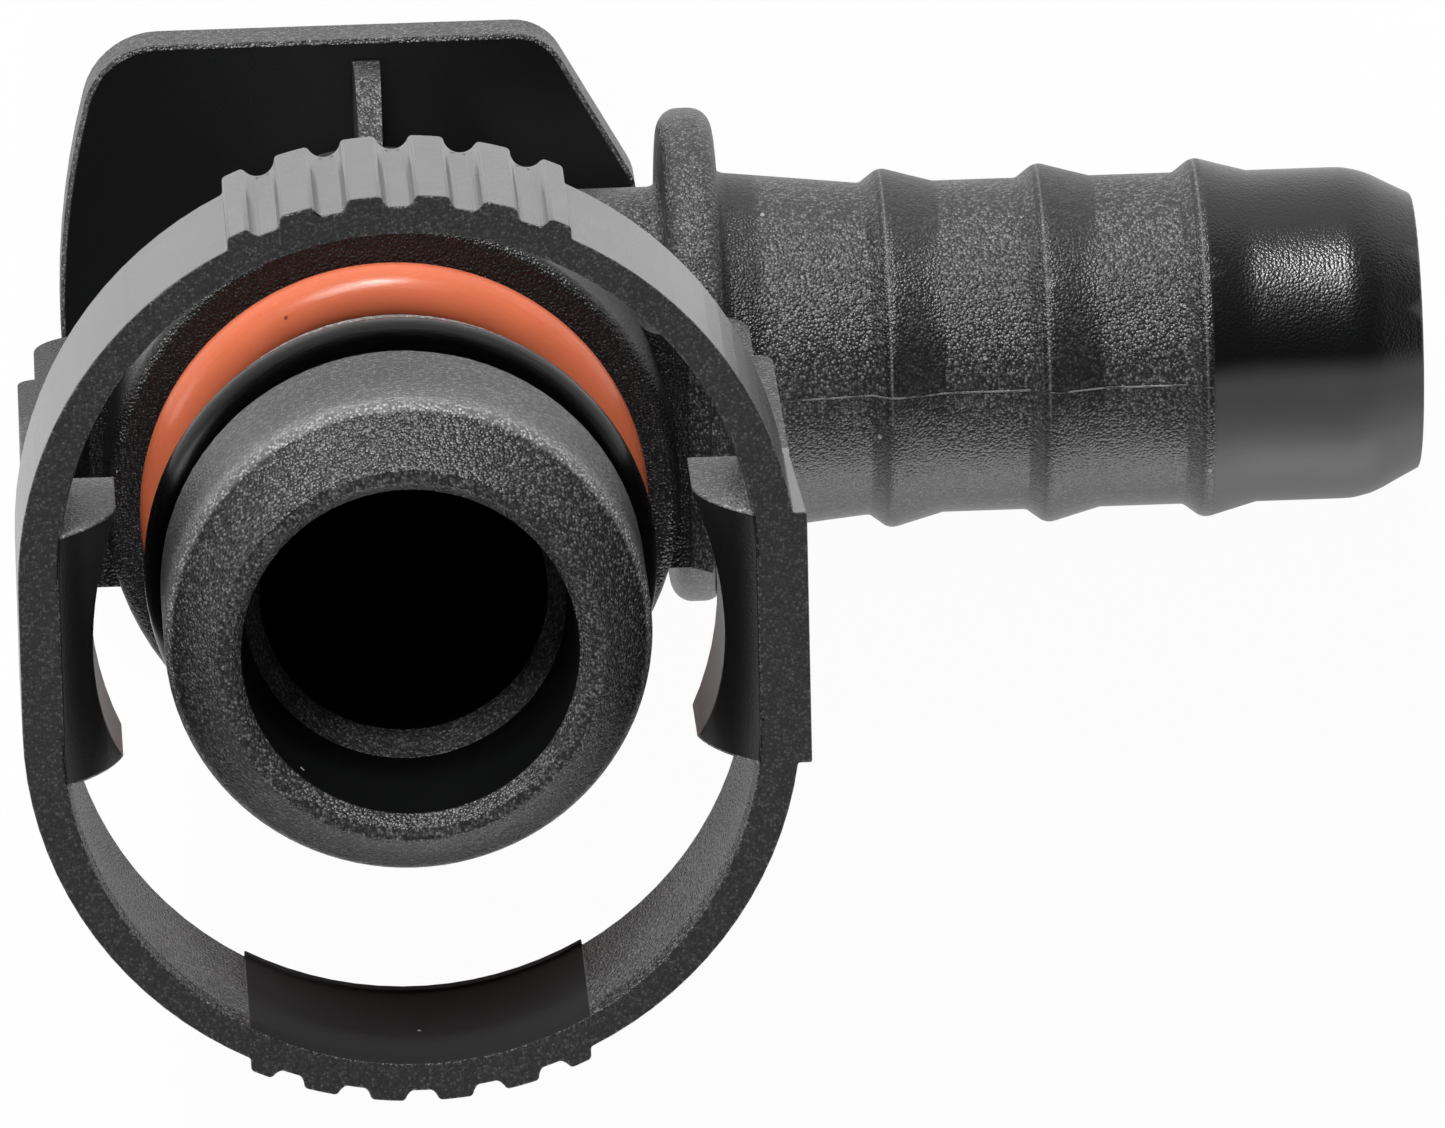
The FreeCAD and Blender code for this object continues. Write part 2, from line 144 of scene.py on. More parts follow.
# Studio: what mirrors see overhead and behind, and each lamp's place, width, height and power.
OVERHEAD_EDGE, OVERHEAD_SOFT = 0.38, 0.30
BEHIND_EDGE, BEHIND_SOFT = 0.2, 0.5
FLOOR_ROUGHNESS = 0.9
LAMPS = (
    ("key_lamp", (-0.12, 0.61, 0.42), 0.30, 0.30, "key_power"),
    ("glint_lamp", (-0.02, 0.70, 0.31), 0.10, 0.10, "glint_power"),
    ("left_lamp", (-0.70, 0.10, 0.20), 0.5, 0.3, "left_power"),
    ("front_lamp", (0.15, -0.75, 0.12), 1.0, 0.4, "front_power"),
)


def length(name, default, description):
    """A size in metres that a user may change."""
    return FloatProperty(name=name, default=default, description=description,
                         unit="LENGTH", precision=5)


def share(name, default, description, highest=1.0):
    """A number from 0 to its highest."""
    return FloatProperty(name=name, default=default, description=description,
                         min=0.0, max=highest)


def colour(name, default, description):
    """A colour with its red, green and blue in linear light."""
    return FloatVectorProperty(name=name, default=default, description=description,
                               subtype="COLOR", size=3, min=0.0, max=1.0)


class ConnectorZones(bpy.types.PropertyGroup):
    """Where one finish of the mould gives way to the next"""
    ring_front: length("Ring Front", 0.0008,
                       "From the spigot's mouth back to the latch ring's front face")
    ring_rear: length("Ring Rear", 0.0113, "From the spigot's mouth back to the latch ring's rear")
    ring_inside: length("Ring Inside", 0.0123,
                        "Radius that parts the spigot from the hooks and ring")
    ring_wall: length("Ring Wall", 0.0170,
                      "Radius that parts the ring's inner face from its outer face")
    ring_centre: length("Ring Centre", 0.00335,
                        "From the spigot's axis to the centre of each round end of the ring")
    grip_width: length("Grip Width", 0.0079, "Half the width of a finger grip")
    hook_width: length("Hook Width", 0.00598, "Half the width of a latch hook")
    pad_face: length("Pad Face", 0.0028, "Thickness of the thumb pad")
    first_barb: length("First Barb", 0.02437, "Where the first barb is widest, along the stem")
    barb_pitch: length("Barb Pitch", 0.00757, "From one barb to the next")
    barb_taper: length("Barb Taper", 0.0026, "Length of a barb's taper")
    nose_radius: length("Nose Radius", 0.0113, "Radius of the spigot's nose")
    land_rear: length("Land Rear", 0.0179,
                      "From the spigot's mouth back past the land between the seals")
    flange_rear: length("Flange Rear", 0.0164, "Where the stem leaves its flange")
    stem_reach: length("Stem Reach", 0.0125, "Radius about the stem's axis that clears its flange")
    tip_start: length("Polished Tip", 0.0398, "Where the stem's polished tip begins")
    bore_radius: length("Bore Radius", 0.0079, "Radius of the spigot's bore at its mouth")
    bore_lip: length("Bore Lip", 0.0007, "Length of the chamfer at the spigot's mouth")
    bore_step: length("Bore Step", 0.0083, "Depth at which the spigot's bore begins to narrow")
    bore_step_length: length("Bore Step Length", 0.0019, "Length over which the bore narrows")
    hose_bore_radius: length("Hose Bore Radius", 0.0062, "Radius of the stem's bore at its end")


class ConnectorFinish(bpy.types.PropertyGroup):
    """Colours and surface of the nylon and the seals"""
    nylon: colour("Nylon", (0.016, 0.016, 0.0165), "Glass-filled nylon in plain light")
    # Partly the grain's own paler tops, partly painted glints of light on them.
    nylon_pale: colour("Nylon Grain", (0.18, 0.18, 0.177), "Tops of the moulded grain")
    # Painted light on the grain's tops round the nose's rim and on the hooks' ends, which face the
    # lamps.
    band_light: colour("Band Grain", (0.50, 0.50, 0.495), "Tops of the grain round the nose's rim")
    ring_face: colour("Ring Face", (0.046, 0.046, 0.0455), "Plain front face of the latch ring")
    # The lower tip's duller finish is real; its paler colour is painted reflection of the pale
    # floor.
    tip_low: colour("Lower Tip", (0.055, 0.055, 0.056), "Lower half of the stem's tip")
    # The ring's smoother outer finish is real; its paler colour is painted sheen.
    satin: colour("Satin Nylon", (0.105, 0.105, 0.106), "Latch ring's outer face")
    # Also the black towards which painted shade darkens tapers, crests, stem root and the shoulder
    # behind the ring.
    polished: colour("Polished Nylon", (0.004, 0.0042, 0.0045), "Thumb pad, stem tip and bores")
    orange: colour("Orange Rubber", (0.55, 0.128, 0.058), "Rear seal")
    black: colour("Black Rubber", (0.006, 0.006, 0.0065), "Front seal")
    # Also painted as a thin highlight along each barb's crest.
    seam: colour("Seam", (0.15, 0.15, 0.15), "Paler nylon of the mould's seams")
    # Also painted as light on the grain in the bore's narrowing cone.
    dust: colour("Dust", (0.30, 0.30, 0.29), "Pale specks of dust on the nylon")
    grain_size: length("Grain Size", 0.00014, "Width of one grain of the moulded texture")
    grain_depth: length("Grain Depth", 0.00006, "Height of the moulded texture")
    edge_round: length("Edge Round", 0.0001, "Radius that the mould leaves on each sharp edge")
    nylon_roughness: share("Nylon Roughness", 0.37, "Roughness of the textured nylon")
    satin_roughness: share("Satin Roughness", 0.27, "Roughness of the latch ring's outer face")
    polished_roughness: share("Polished Roughness", 0.28, "Roughness of the polished nylon")
    dull_roughness: share("Dull Roughness", 0.65,
                          "Roughness of the ring's inner face under the grips")
    rubber_roughness: share("Rubber Roughness", 0.20, "Roughness of the oiled seals")


class ConnectorSeams(bpy.types.PropertyGroup):
    """Fine raised lines where the parts of the mould met"""
    width: length("Seam Width", 0.00008, "Width of a seam")
    height: length("Seam Height", 0.00002, "How far a seam stands out of the surface")
    stem_start: length("Stem Seam Start", 0.0168, "Where the stem's seam begins, along the stem")


class ConnectorStudio(bpy.types.PropertyGroup):
    """Camera, lamps and the pale floor"""
    pixels_per_metre: FloatProperty(name="Picture Scale", default=21700.0, min=1.0,
                                    description="Picture pixels to a metre at the spigot's mouth")
    distance: length("Camera Distance", 1.0, "From the camera to the spigot's mouth")
    tilt: FloatProperty(name="Tilt", default=math.radians(17.0), subtype="ANGLE",
                        description="How far the camera leans from the spigot's axis towards +Y")
    yaw: FloatProperty(name="Yaw", default=math.radians(2.3), subtype="ANGLE",
                       description="How far the camera stands to the left")
    roll: FloatProperty(name="Roll", default=math.radians(1.27), subtype="ANGLE",
                        description="How far the camera turns about its own axis")
    mouth_x: IntProperty(name="Mouth X", default=411,
                         description="Picture column of the mouth's centre")
    mouth_y: FloatProperty(name="Mouth Y", default=656.5,
                           description="Picture row of the mouth's centre")
    floor_size: length("Floor Size", 6.0, "Side of the floor")
    floor_colour: colour("Floor Colour", (0.93, 0.93, 0.93), "Pale floor and backdrop")
    floor_glow: share("Floor Whiteness", 0.96, "How much of the floor is plain white to the eye")
    fill: share("Fill", 0.20, "Soft light from all round", 5.0)
    overhead: share("Overhead", 0.02, "What polished faces mirror from straight above", 5.0)
    behind: share("Behind", 0.2, "What is mirrored from behind the grips", 5.0)
    key_power: FloatProperty(name="Key", default=3.7, unit="POWER",
                             description="Wide lamp behind the grips")
    glint_power: FloatProperty(name="Glint", default=3.4, unit="POWER",
                               description="Small lamp behind the grips")
    left_power: FloatProperty(name="Left", default=1.3, unit="POWER",
                              description="Lamp on the left")
    front_power: FloatProperty(name="Front", default=4.1, unit="POWER",
                               description="Lamp below the stem")


def add_node(tree, kind, inputs=None, **settings):
    """Adds a node, with its settings, and feeds or links its inputs."""
    made = tree.nodes.new(kind)
    for name, value in settings.items():
        setattr(made, name, value)
    for name, value in (inputs or {}).items():
        if isinstance(value, bpy.types.NodeSocket):
            tree.links.new(value, made.inputs[name])
        else:
            made.inputs[name].default_value = value
    return made


def maths(tree, operation, first, second=0.0):
    """The result of one sum on two numbers."""
    return add_node(tree, "ShaderNodeMath", {0: first, 1: second}, operation=operation).outputs[0]


def product(tree, *factors):
    """Several masks multiplied together."""
    result = factors[0]
    for factor in factors[1:]:
        result = maths(tree, "MULTIPLY", result, factor)
    return result


def either(tree, *masks):
    """The strongest of several masks."""
    result = masks[0]
    for mask in masks[1:]:
        result = maths(tree, "MAXIMUM", result, mask)
    return result


def opposite(tree, mask):
    """One minus a mask."""
    return maths(tree, "SUBTRACT", 1.0, mask)


def strongest(tree, masks, weights):
    """The strongest of the named masks, each times its weight."""
    return either(tree, *(product(tree, masks[name], weight) for name, weight in weights.items()))


def step_up(tree, value, edge, soft=SOFT):
    """A mask that rises from 0 to 1 as a value passes an edge."""
    limits = {"Value": value, "From Min": edge - soft, "From Max": edge + soft}
    ramp = add_node(tree, "ShaderNodeMapRange", limits, interpolation_type="SMOOTHSTEP")
    return ramp.outputs["Result"]


def step_down(tree, value, edge, soft=SOFT):
    """A mask that falls from 1 to 0 as a value passes an edge."""
    return opposite(tree, step_up(tree, value, edge, soft))


def between(tree, value, low, high, soft=SOFT):
    """A mask that is 1 between two edges."""
    return product(tree, step_up(tree, value, low, soft), step_down(tree, value, high, soft))


def blend_colours(tree, mask, first, second):
    """The first colour where a mask is 0, and the second where it is 1."""
    mix = add_node(tree, "ShaderNodeMix", data_type="RGBA")
    for socket, value in ((mix.inputs[0], mask), (mix.inputs[6], first), (mix.inputs[7], second)):
        if isinstance(value, bpy.types.NodeSocket):
            tree.links.new(value, socket)
        else:
            socket.default_value = (*value, 1.0)
    return mix.outputs[2]


def blend_numbers(tree, mask, first, second):
    """The first number where a mask is 0, and the second where it is 1."""
    mix = add_node(tree, "ShaderNodeMix", {0: mask, 2: first, 3: second}, data_type="FLOAT")
    return mix.outputs[0]


def new_group(name, inputs, outputs):
    """An empty node group with its sockets, each a (name, kind) pair."""
    group = bpy.data.node_groups.new(name, "ShaderNodeTree")
    for socket_name, kind in inputs:
        group.interface.new_socket(name=socket_name, in_out="INPUT", socket_type=kind)
    for socket_name, kind in outputs:
        group.interface.new_socket(name=socket_name, in_out="OUTPUT", socket_type=kind)
    return group, group.nodes.new("NodeGroupInput"), group.nodes.new("NodeGroupOutput")


def moulded_grain():
    """Group: the spark-eroded grain of a mould, as a height and as its pale tops."""
    name = "Moulded Grain"
    if name in bpy.data.node_groups:
        return bpy.data.node_groups[name]
    group, given, result = new_group(
        name,
        [("Place", "NodeSocketVector"), ("Grains per Metre", "NodeSocketFloat")],
        [("Height", "NodeSocketFloat"), ("Tops", "NodeSocketFloat")],
    )
    place, scale = given.outputs[0], given.outputs[1]
    cells = add_node(group, "ShaderNodeTexVoronoi", {"Vector": place, "Scale": scale})
    dome = opposite(group, cells.outputs["Distance"])
    height = dome
    for times in (FINE_GRAIN, COARSE_GRAIN):
        noise_scale = maths(group, "MULTIPLY", scale, times)
        noise = add_node(group, "ShaderNodeTexNoise",
                         {"Vector": place, "Scale": noise_scale, "Detail": 1.0})
        part = maths(group, "MULTIPLY", noise.outputs["Fac"], NOISE_SHARE)
        height = maths(group, "ADD", height, part)
    lot = add_node(group, "ShaderNodeSeparateXYZ", {0: cells.outputs["Color"]}).outputs[0]
    tops = product(group, maths(group, "POWER", lot, TOP_RARITY),
                   step_up(group, dome, TOP_EDGE, TOP_SOFT))
    group.links.new(height, result.inputs["Height"])
    group.links.new(tops, result.inputs["Tops"])
    return group


def stray_specks():
    """Group: a few small specks, as a mask."""
    name = "Stray Specks"
    if name in bpy.data.node_groups:
        return bpy.data.node_groups[name]
    group, given, result = new_group(
        name,
        [("Place", "NodeSocketVector"), ("Specks per Metre", "NodeSocketFloat"),
         ("Width", "NodeSocketFloat"), ("Share", "NodeSocketFloat")],
        [("Specks", "NodeSocketFloat")],
    )
    place, scale, width, some = given.outputs[:4]
    warp = add_node(group, "ShaderNodeTexNoise", {"Vector": place, "Scale": SPECK_WARP})
    shift = add_node(group, "ShaderNodeVectorMath",
                     {0: warp.outputs["Color"], "Scale": SPECK_SHIFT}, operation="SCALE")
    moved = add_node(group, "ShaderNodeVectorMath", {0: place, 1: shift.outputs[0]},
                     operation="ADD").outputs[0]
    cells = add_node(group, "ShaderNodeTexVoronoi", {"Vector": moved, "Scale": scale})
    near = maths(group, "LESS_THAN", cells.outputs["Distance"], width)
    lot = add_node(group, "ShaderNodeSeparateXYZ", {0: cells.outputs["Color"]}).outputs[0]
    chosen = maths(group, "LESS_THAN", lot, some)
    group.links.new(maths(group, "MULTIPLY", near, chosen), result.inputs["Specks"])
    return group


def grain_at(tree, place, grains):
    """Places the grain group and returns its height and tops."""
    made = add_node(tree, "ShaderNodeGroup", node_tree=moulded_grain())
    tree.links.new(place, made.inputs["Place"])
    made.inputs["Grains per Metre"].default_value = grains
    return made.outputs["Height"], made.outputs["Tops"]


def specks_at(tree, place, specks, width, some):
    """Places the speck group and returns its mask."""
    made = add_node(tree, "ShaderNodeGroup", node_tree=stray_specks())
    tree.links.new(place, made.inputs["Place"])
    for name, value in (("Specks per Metre", specks), ("Width", width), ("Share", some)):
        made.inputs[name].default_value = value
    return made.outputs["Specks"]


def new_material(name):
    """A material with only its principled shader, output and object coordinates."""
    material = bpy.data.materials.new(name)
    material.use_nodes = True
    tree = material.node_tree
    tree.nodes.clear()
    place = tree.nodes.new("ShaderNodeTexCoord").outputs["Object"]
    shader = tree.nodes.new("ShaderNodeBsdfPrincipled")
    output = tree.nodes.new("ShaderNodeOutputMaterial")
    tree.links.new(shader.outputs["BSDF"], output.inputs["Surface"])
    return material, tree, place, shader


def distance(tree, first, second):
    """How far a point lies from an axis, from its two offsets."""
    squares = maths(tree, "ADD", product(tree, first, first), product(tree, second, second))
    return maths(tree, "SQRT", squares)


def past_crest(tree, x, start, pitch):
    """How far along the stem a point lies past the last barb's crest, from a first start."""
    wrap = {0: maths(tree, "SUBTRACT", x, start), 1: pitch, 2: 0.0}
    return add_node(tree, "ShaderNodeMath", wrap, operation="WRAP").outputs[0]


def ring_zones(tree, zones, x, y, depth, radius):
    """Masks of the latch ring's faces, its hooks, and the inner faces under its grips."""
    side_x = maths(tree, "ABSOLUTE", x)
    side_y = maths(tree, "ABSOLUTE", y)
    past_centre = maths(tree, "SUBTRACT", side_y, zones.ring_centre)
    hoop = distance(tree, x, maths(tree, "MAXIMUM", past_centre, 0.0))
    in_ring = product(
        tree, between(tree, depth, zones.ring_front + FACE_WRAP, zones.ring_rear, FACE_SOFT),
        step_up(tree, radius, zones.ring_inside))
    outer = step_up(tree, hoop, zones.ring_wall)
    inner = product(tree, in_ring, opposite(tree, outer))
    hook_edge = zones.hook_width - HOOK_WRAP
    front = step_down(tree, depth, zones.ring_front, FACE_SOFT)
    return {
        # The ring's smoother outer face, whose paler colour is painted sheen.
        "satin": product(tree, in_ring, outer),
        "hooks": product(tree, inner, step_down(tree, side_y, hook_edge, FINE_SOFT)),
        # The hooks' ends share the nose rim's painted light.
        "hook_ends": product(tree, inner, between(tree, side_y, hook_edge,
                                                  zones.hook_width + HOOK_END, FINE_SOFT)),
        "under_grips": product(tree, inner, step_down(tree, side_x, zones.grip_width, GRIP_SOFT)),
        "ring_face": product(tree, front, step_up(tree, radius, zones.ring_inside)),
    }


def stem_zones(tree, zones, x, y, stem_radius):
    """Masks of the stem's root, barbs, lower side and tip, with the painted shade, crest highlights
    and floor reflection on them.
    """
    after_crest = past_crest(tree, x, zones.first_barb, zones.barb_pitch)
    tapers = product(tree, step_up(tree, x, zones.first_barb),
                     step_down(tree, after_crest, zones.barb_taper))
    near_stem = step_down(tree, stem_radius, zones.stem_reach)
    on_stem = product(tree, near_stem, step_up(tree, x, zones.first_barb - zones.barb_pitch))
    low_side = product(tree, on_stem, step_down(tree, y, *LOW_SIDE))
    upper_side = opposite(tree, low_side)
    crest = past_crest(tree, x, zones.first_barb - CREST_LEAD, zones.barb_pitch)
    on_barbs = between(tree, x, zones.first_barb - BEFORE_BARBS, zones.tip_start + PAST_TIP_START)
    root_start, root_end, root_soft = ROOT_SHADOW
    root = between(tree, x, zones.flange_rear + root_start, zones.flange_rear + root_end, root_soft)
    tip = step_up(tree, x, zones.tip_start, TIP_SOFT)
    return {
        "tip": tip,
        # The tip's duller lower half, painted paler as a reflection of the floor.
        "tip_low": product(tree, tip, step_down(tree, y, *LOW_TIP)),
        # Painted shade on the upper side of each barb's taper.
        "tapers": product(tree, tapers, upper_side),
        # Painted shadow of the flange on the stem's root, upper side.
        "root": product(tree, near_stem, root, upper_side),
        "low_side": low_side,
        "crest_shade": product(tree, on_barbs, between(tree, crest, *CREST_SHADE)),
        # Painted highlight along each crest, on its upper side.
        "crest_line": product(tree, on_barbs, between(tree, crest, *CREST_HIGHLIGHT), upper_side),
    }


def nylon_zones(tree, place, zones):
    """Masks of the moulding's finishes and of its painted light and shade, by where they lie."""
    x, y, z = add_node(tree, "ShaderNodeSeparateXYZ", {0: place}).outputs
    depth = maths(tree, "SUBTRACT", MOUTH.z, z)
    radius = distance(tree, x, y)
    stem_radius = distance(tree, y, maths(tree, "SUBTRACT", z, STEM_AXIS_Z))
    masks = {**ring_zones(tree, zones, x, y, depth, radius),
             **stem_zones(tree, zones, x, y, stem_radius)}
    pad_rear, pad_front = PAD_SKIN
    pad = product(
        tree, between(tree, z, zones.pad_face + pad_rear, zones.pad_face + pad_front, FINE_SOFT),
        step_down(tree, x, zones.ring_wall))
    bore_step_end = zones.bore_step + zones.bore_step_length
    cone = between(tree, depth, zones.bore_step, bore_step_end, CONE_SOFT)
    bore = product(
        tree, step_down(tree, radius, zones.bore_radius, BORE_SOFT), step_up(tree, z, STEM_AXIS_Z),
        step_up(tree, depth, zones.bore_lip, BORE_SOFT), opposite(tree, cone))
    hose_bore = product(tree, step_down(tree, stem_radius, zones.hose_bore_radius),
                        step_up(tree, x, zones.ring_inside))
    # The nose's rim, where light is painted on the grain's tops.
    band = product(
        tree, step_up(tree, radius, zones.nose_radius - BAND_INSET),
        step_down(tree, radius, zones.ring_inside), step_down(tree, depth, zones.land_rear))
    # Painted shade on the shoulder behind the ring, where the ring blocks the light.
    shoulder_front, shoulder_rear = SHOULDER_SHADE
    shoulder = between(tree, depth, zones.ring_rear + shoulder_front,
                       zones.ring_rear + shoulder_rear, SHOULDER_SOFT)
    masks["polished"] = either(tree, pad, bore, hose_bore, masks["tip"], masks["hooks"],
                               masks["under_grips"])
    masks["band"] = either(tree, band, masks["hook_ends"])
    masks["shoulder"] = product(tree, shoulder,
                                step_down(tree, x, zones.ring_inside + SHOULDER_REACH))
    # Painted light in the bore's narrowing cone, where the lamps don't reach.
    masks["throat"] = product(tree, cone, step_down(tree, radius, zones.bore_radius))
    return masks


def nylon_colour(tree, place, finish, masks, tops, grained):
    """The nylon's colour: grain with painted glints on its tops, then each finish and each painted
    shade, highlight, sheen and reflection over the last, then clouds and dust.
    """
    # Paler grain tops: partly their own tone, partly painted glints.
    base = blend_colours(tree, product(tree, tops, grained), finish.nylon, finish.nylon_pale)
    base = blend_colours(tree, masks["ring_face"], base, finish.ring_face)
    # Painted light on the grain's tops round the nose's rim and the hooks' ends.
    band = product(tree, masks["band"], blend_numbers(tree, tops, *BAND_LIGHT_TOPS))
    base = blend_colours(tree, band, base, finish.band_light)
    # Painted shade darkens the tapers, crests, stem root and the shoulder behind the ring towards
    # polished black.
    base = blend_colours(tree, strongest(tree, masks, PAINTED_SHADE), base, finish.polished)
    # Painted highlight along each crest, in the seam's paler colour.
    line = product(tree, masks["crest_line"], CREST_HIGHLIGHT_SHARE)
    base = blend_colours(tree, line, base, finish.seam)
    # Painted sheen: the ring's outer face is painted paler than the nylon.
    base = blend_colours(tree, masks["satin"], base, finish.satin)
    # Painted light in the bore's narrowing cone, in the dust's pale colour.
    throat = product(tree, masks["throat"], blend_numbers(tree, tops, *THROAT_LIGHT_TOPS))
    base = blend_colours(tree, throat, base, finish.dust)
    base = blend_colours(tree, masks["polished"], base, finish.polished)
    # Painted reflection of the pale floor on the tip's lower half.
    base = blend_colours(tree, masks["tip_low"], base, finish.tip_low)
    cloud = add_node(tree, "ShaderNodeTexNoise",
                     {"Vector": place, "Scale": NYLON_CLOUDS, "Detail": 2.0}).outputs["Fac"]
    tint = blend_numbers(tree, cloud, *CLOUD_TINT)
    tinted = add_node(tree, "ShaderNodeVectorMath", {0: base, "Scale": tint}, operation="SCALE")
    dust = specks_at(tree, place, *NYLON_SPECKS)
    return blend_colours(tree, dust, tinted.outputs[0], finish.dust)


def nylon_material(finish, zones):
    """Black glass-filled nylon: grained, smoother round the ring with painted sheen, polished on
    pad, tip and bores, with painted shade, highlights and reflections.
    """
    material, tree, place, shader = new_material("glass filled nylon")
    masks = nylon_zones(tree, place, zones)
    height, tops = grain_at(tree, place, 1.0 / finish.grain_size)
    grained = opposite(tree, strongest(tree, masks, SMOOTHING))
    base = nylon_colour(tree, place, finish, masks, tops, grained)
    tree.links.new(base, shader.inputs["Base Color"])
    roughness = blend_numbers(tree, masks["satin"], finish.nylon_roughness, finish.satin_roughness)
    roughness = blend_numbers(tree, masks["polished"], roughness, finish.polished_roughness)
    roughness = blend_numbers(tree, strongest(tree, masks, DULLING), roughness,
                              finish.dull_roughness)
    tree.links.new(roughness, shader.inputs["Roughness"])
    upper_tip = product(tree, masks["tip"], opposite(tree, masks["tip_low"]))
    least = blend_numbers(tree, upper_tip, LEAST_RELIEF, TIP_RELIEF)
    relief = product(tree, height, maths(tree, "MAXIMUM", grained, least))
    bump = add_node(tree, "ShaderNodeBump",
                    {"Height": relief, "Strength": 1.0, "Distance": finish.grain_depth})
    tree.links.new(bump.outputs["Normal"], shader.inputs["Normal"])
    shader.inputs["IOR"].default_value = NYLON_IOR
    return material


def seam_material(finish):
    """The paler, plainer nylon of a seam."""
    material, tree, place, shader = new_material("nylon seam")
    breaks = add_node(tree, "ShaderNodeTexNoise",
                      {"Vector": place, "Scale": SEAM_BREAKS, "Detail": 2.0}).outputs["Fac"]
    base = blend_colours(tree, step_up(tree, breaks, BREAK_EDGE, BREAK_SOFT),
                         finish.nylon, finish.seam)
    tree.links.new(base, shader.inputs["Base Color"])
    shader.inputs["Roughness"].default_value = finish.nylon_roughness
    return material


def rubber_material(name, tint, finish):
    """Oiled rubber with faint drag lines round the seal and a few specks."""
    material, tree, place, shader = new_material(name)
    cloud = add_node(tree, "ShaderNodeTexNoise",
                     {"Vector": place, "Scale": RUBBER_CLOUDS, "Detail": 3.0})
    base = blend_colours(tree, cloud.outputs["Fac"], tuple(RUBBER_SHADE * c for c in tint),
                         tuple(min(1.0, RUBBER_LIGHT * c) for c in tint))
    base = blend_colours(tree, specks_at(tree, place, *RUBBER_SPECKS), base,
                         tuple(SPECK_SHADE * c for c in tint))
    tree.links.new(base, shader.inputs["Base Color"])
    stretch = add_node(tree, "ShaderNodeMapping",
                       {"Vector": place, "Scale": (1.0, 1.0, DRAG_STRETCH)})
    lines = {"Vector": stretch.outputs[0], "Scale": DRAG_LINES, "Detail": 3.0}
    drag = add_node(tree, "ShaderNodeTexNoise", lines).outputs["Fac"]
    bump = add_node(tree, "ShaderNodeBump",
                    {"Height": drag, "Strength": DRAG_STRENGTH, "Distance": DRAG_HEIGHT})
    tree.links.new(bump.outputs["Normal"], shader.inputs["Normal"])
    roughness = blend_numbers(tree, drag, finish.rubber_roughness,
                              finish.rubber_roughness + DRAG_ROUGHNESS)
    tree.links.new(roughness, shader.inputs["Roughness"])
    shader.inputs["IOR"].default_value = RUBBER_IOR
    shader.inputs["Specular IOR Level"].default_value = RUBBER_SHINE
    return material


def select_only(obj):
    """Makes one object the only one selected, and the active one."""
    bpy.ops.object.select_all(action="DESELECT")
    obj.select_set(True)
    bpy.context.view_layer.objects.active = obj


def merged_copy(node, name):
    """A copy of a solid's mesh with its loose triangles joined, shaded smooth between its edges."""
    copy = bpy.data.objects.new(name, frame["nodes"][node].data.copy())
    bpy.context.scene.collection.objects.link(copy)
    copy.data.materials.clear()
    select_only(copy)
    bpy.ops.object.mode_set(mode="EDIT")
    bpy.ops.mesh.select_all(action="SELECT")
    bpy.ops.mesh.remove_doubles(threshold=JOIN_WITHIN)
    bpy.ops.object.mode_set(mode="OBJECT")
    bpy.ops.object.shade_smooth_by_angle(angle=SHARP_ANGLE)
    return copy


def on_ring_or_mouth(points, zones):
    """Whether an edge lies on the latch ring, its hooks and grips, or on the spigot's mouth."""
    radii = [math.hypot(p.x, p.y) for p in points]
    depths = [MOUTH.z - p.z for p in points]
    on_ring = min(radii) > zones.ring_inside and max(depths) < zones.ring_rear + RING_REAR_ROOM
    on_mouth = max(radii) < zones.bore_radius + MOUTH_ROOM and max(depths) < zones.ring_front
    return on_ring or on_mouth


def soften_edges(piece, radius, zones):
    """Rounds the sharp edges of the latch ring and the spigot's mouth a little."""
    select_only(piece)
    bpy.ops.object.mode_set(mode="EDIT")
    bpy.ops.mesh.select_mode(type="EDGE")
    bpy.ops.mesh.select_all(action="SELECT")
    bpy.ops.mesh.dissolve_limited(angle_limit=FLAT_ANGLE)
    bpy.ops.mesh.select_all(action="DESELECT")
    bpy.ops.mesh.edges_select_sharp(sharpness=SHARP_ANGLE)
    bpy.ops.object.mode_set(mode="OBJECT")
    mesh = piece.data
    mesh.polygons.foreach_set("select", [False] * len(mesh.polygons))
    for edge in mesh.edges:
        if not on_ring_or_mouth([mesh.vertices[i].co for i in edge.vertices], zones):
            edge.select = False
    bpy.ops.object.mode_set(mode="EDIT")
    bpy.ops.mesh.bevel(offset=radius, segments=ROUND_SEGMENTS, clamp_overlap=False)
    bpy.ops.object.mode_set(mode="OBJECT")
    bpy.ops.object.shade_smooth_by_angle(angle=SHARP_ANGLE)


def even_normals(piece):
    """Lets large faces rule the shading of the edges that they share with small ones."""
    select_only(piece)
    weighted = piece.modifiers.new("Weighted Normal", "WEIGHTED_NORMAL")
    weighted.keep_sharp = True
    bpy.ops.object.modifier_apply(modifier=weighted.name)


def seat(piece, slot, *nodes):
    """Lets a piece ride with the connector, in place of any nodes."""
    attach(piece, "root")
    if nodes:
        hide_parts(*nodes)


class CONNECTOR_OT_moulding(bpy.types.Operator):
    """Dress the one-piece moulding in glass-filled nylon"""
    bl_idname = "connector.moulding"
    bl_label = "Nylon Moulding"

    def execute(self, context):
        scene = context.scene
        finish = scene.connector_finish
        piece = merged_copy("connector_body", "nylon_moulding")
        soften_edges(piece, finish.edge_round, scene.connector_zones)
        even_normals(piece)
        piece.data.materials.append(nylon_material(finish, scene.connector_zones))
        seat(piece, "black_nylon", "connector_body")
        return {"FINISHED"}


